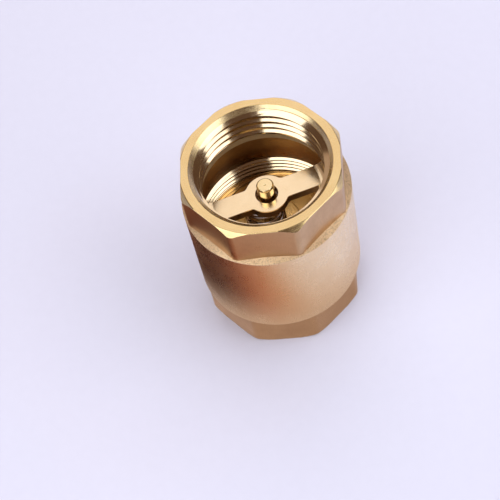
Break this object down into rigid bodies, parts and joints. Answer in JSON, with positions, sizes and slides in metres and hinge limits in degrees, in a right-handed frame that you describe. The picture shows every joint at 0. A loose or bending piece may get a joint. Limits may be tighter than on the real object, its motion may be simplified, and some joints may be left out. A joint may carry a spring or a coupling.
{
  "type": "spring check valve",
  "caption": "In-line spring check valve in brass: octagonal female pipe ends, round barrel, guide bar across the outlet and a spring-loaded poppet inside.",
  "frame": {"origin": "centre of the inlet end face, which is the face that the valve stands on", "axes": "+Z along the valve's axis, from the inlet to the outlet, the way the water flows; +X and +Y square to flats of both octagons; the guide bar lies 17.5 degrees from +X towards +Y"},
  "size_m": [0.042, 0.042, 0.054],
  "materials": {
    "body_brass": "satin, with bright turned faces and threads",
    "turned_brass": "bright turned",
    "seal_rubber": "matt black",
    "spring_steel": "drawn wire"
  },
  "bodies": {
    "shell": {"outlet_body": "body_brass", "inlet_cap": "body_brass", "joint_o_ring": "seal_rubber", "valve_spring": "spring_steel"},
    "poppet": {"poppet_stem": "turned_brass", "poppet_disc": "turned_brass", "disc_seal": "seal_rubber", "seal_retainer": "turned_brass", "retainer_nut": "turned_brass"}
  },
  "joints": [
    {"name": "poppet_lift", "type": "slide", "parent": "shell", "child": "poppet", "axis": [0, 0, 1], "range_m": [0, 0.005], "stiffness_N_per_m": 800, "springref_m": -0.002, "deforming": ["valve_spring"]}
  ]
}
